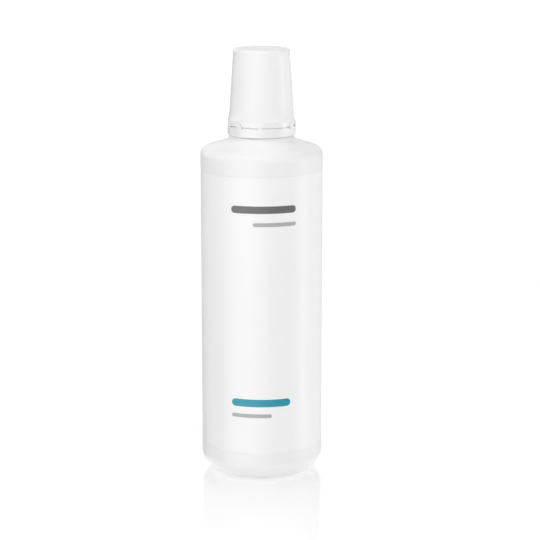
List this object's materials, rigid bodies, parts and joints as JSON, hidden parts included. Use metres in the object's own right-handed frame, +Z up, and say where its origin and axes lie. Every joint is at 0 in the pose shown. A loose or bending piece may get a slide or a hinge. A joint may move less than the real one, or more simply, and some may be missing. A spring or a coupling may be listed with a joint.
{
  "type": "mouthwash bottle",
  "caption": "Slim round plastic bottle with a low conical shoulder, a wrapped label and a tall tapered dosing cap that screws on over a toothed tamper band.",
  "frame": {"origin": "middle of the base, on the plane that the bottle stands on", "axes": "+Z up along the bottle's axis, -Y towards the front of the label, +X to the right in the picture"},
  "size_m": [0.064, 0.064, 0.2249],
  "materials": {
    "bottle_plastic": "white blown polyethylene, soft satin",
    "label_film": "white film, satin varnish",
    "cap_plastic": "white moulded polypropylene, semi gloss",
    "seal_foam": "white foamed polyethylene"
  },
  "bodies": {
    "bottle": {"bottle": "bottle_plastic", "label": "label_film"},
    "band": {"tamper_band": "cap_plastic"},
    "seal": {"sealing_ring": "seal_foam"},
    "cap": {"dosing_cap": "cap_plastic"}
  },
  "joints": [
    {"name": "band_spin", "type": "hinge", "parent": "bottle", "child": "band", "pos_m": [0, 0, 0.182], "axis": [0, 0, 1], "continuous": true},
    {"name": "cap_lift", "type": "slide", "parent": "bottle", "child": "seal", "axis": [0, 0, 1], "range_m": [0, 0.00631]},
    {"name": "cap_turn", "type": "hinge", "parent": "seal", "child": "cap", "pos_m": [0, 0, 0.19], "axis": [0, 0, 1], "range_deg": [0, 540]}
  ],
  "couplings": [
    {"joint": "cap_lift", "follows": "cap_turn", "m_per_rad": 0.00066845}
  ]
}
